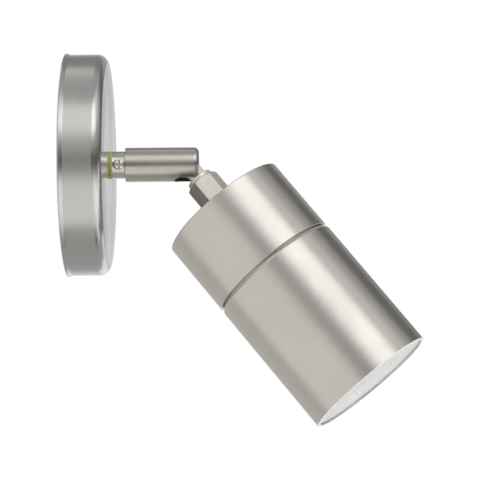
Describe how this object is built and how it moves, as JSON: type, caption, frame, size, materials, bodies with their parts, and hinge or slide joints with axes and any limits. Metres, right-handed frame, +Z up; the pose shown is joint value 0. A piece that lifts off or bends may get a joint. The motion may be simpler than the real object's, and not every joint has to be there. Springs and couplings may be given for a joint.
{
  "type": "outdoor wall light",
  "caption": "Adjustable outdoor wall spot: round wall canopy, short turning arm, forked tilting knuckle and a cylindrical two-part head with a flat front glass.",
  "frame": {"origin": "on the wall plane, at the middle of the canopy's back and of the two fixing slots", "axes": "+Y into the wall, the light stands out along -Y, +Z up; stored as pictured, with the arm turned and the head tilted down"},
  "size_m": [0.1064, 0.1588, 0.1681],
  "materials": {
    "satin_steel": "satin brushed stainless",
    "plated_steel": "zinc plated",
    "bright_steel": "bright stainless",
    "brass": "plain",
    "green_seal": "matt yellow-green",
    "foam": "closed-cell foam",
    "black_rubber": "matt",
    "silicone": "pale silicone",
    "block_plastic": "matt",
    "holder_ceramic": "unglazed",
    "clear_glass": "clear, flat",
    "lamp_mirror": "aluminised glass",
    "lamp_glass": "lightly frosted"
  },
  "bodies": {
    "wall_part": {"wall_bracket": "plated_steel", "wall_gasket": "foam", "canopy": "satin_steel", "canopy_screws": "bright_steel", "neck_seal": "green_seal", "neck_stem": "satin_steel", "neck_screw": "bright_steel", "neck_washer": "plated_steel", "neck_nut": "plated_steel", "terminal_block": "block_plastic", "terminal_screws": "brass", "terminal_fixings": "plated_steel", "earth_screw": "brass", "earth_washer": "plated_steel"},
    "arm": {"arm": "satin_steel", "pivot_screw": "bright_steel", "pivot_washer": "bright_steel"},
    "head": {"knuckle": "satin_steel", "hex_sleeve": "satin_steel", "stud_seal": "silicone", "stud_washer": "plated_steel", "stud_nut": "plated_steel", "rear_housing": "satin_steel", "housing_o_ring": "black_rubber", "holder_bracket": "plated_steel", "lamp_holder": "holder_ceramic", "holder_screws": "plated_steel"},
    "barrel": {"front_barrel": "satin_steel", "lens_gasket": "silicone", "lens_glass": "clear_glass"},
    "lamp": {"lamp_base": "holder_ceramic", "lamp_reflector": "lamp_mirror", "lamp_cover": "lamp_glass", "lamp_pins": "bright_steel"}
  },
  "joints": [
    {"name": "arm_turn", "type": "hinge", "parent": "wall_part", "child": "arm", "pos_m": [0, -0.02643, 0], "axis": [0, 1, 0], "range_deg": [-165.03, 134.97]},
    {"name": "head_tilt", "type": "hinge", "parent": "arm", "child": "head", "pos_m": [0, -0.05442, 0], "axis": [0.9658, 0, -0.2593], "range_deg": [-51.35, 38.65]},
    {"name": "barrel_release", "type": "slide", "parent": "head", "child": "barrel", "axis": [-0.2025, -0.6246, -0.7543], "range_m": [0, 0.065]},
    {"name": "lamp_turn", "type": "hinge", "parent": "head", "child": "lamp", "pos_m": [-0.01237, -0.09258, -0.04609], "axis": [-0.2025, -0.6246, -0.7543], "range_deg": [0, 30]}
  ]
}
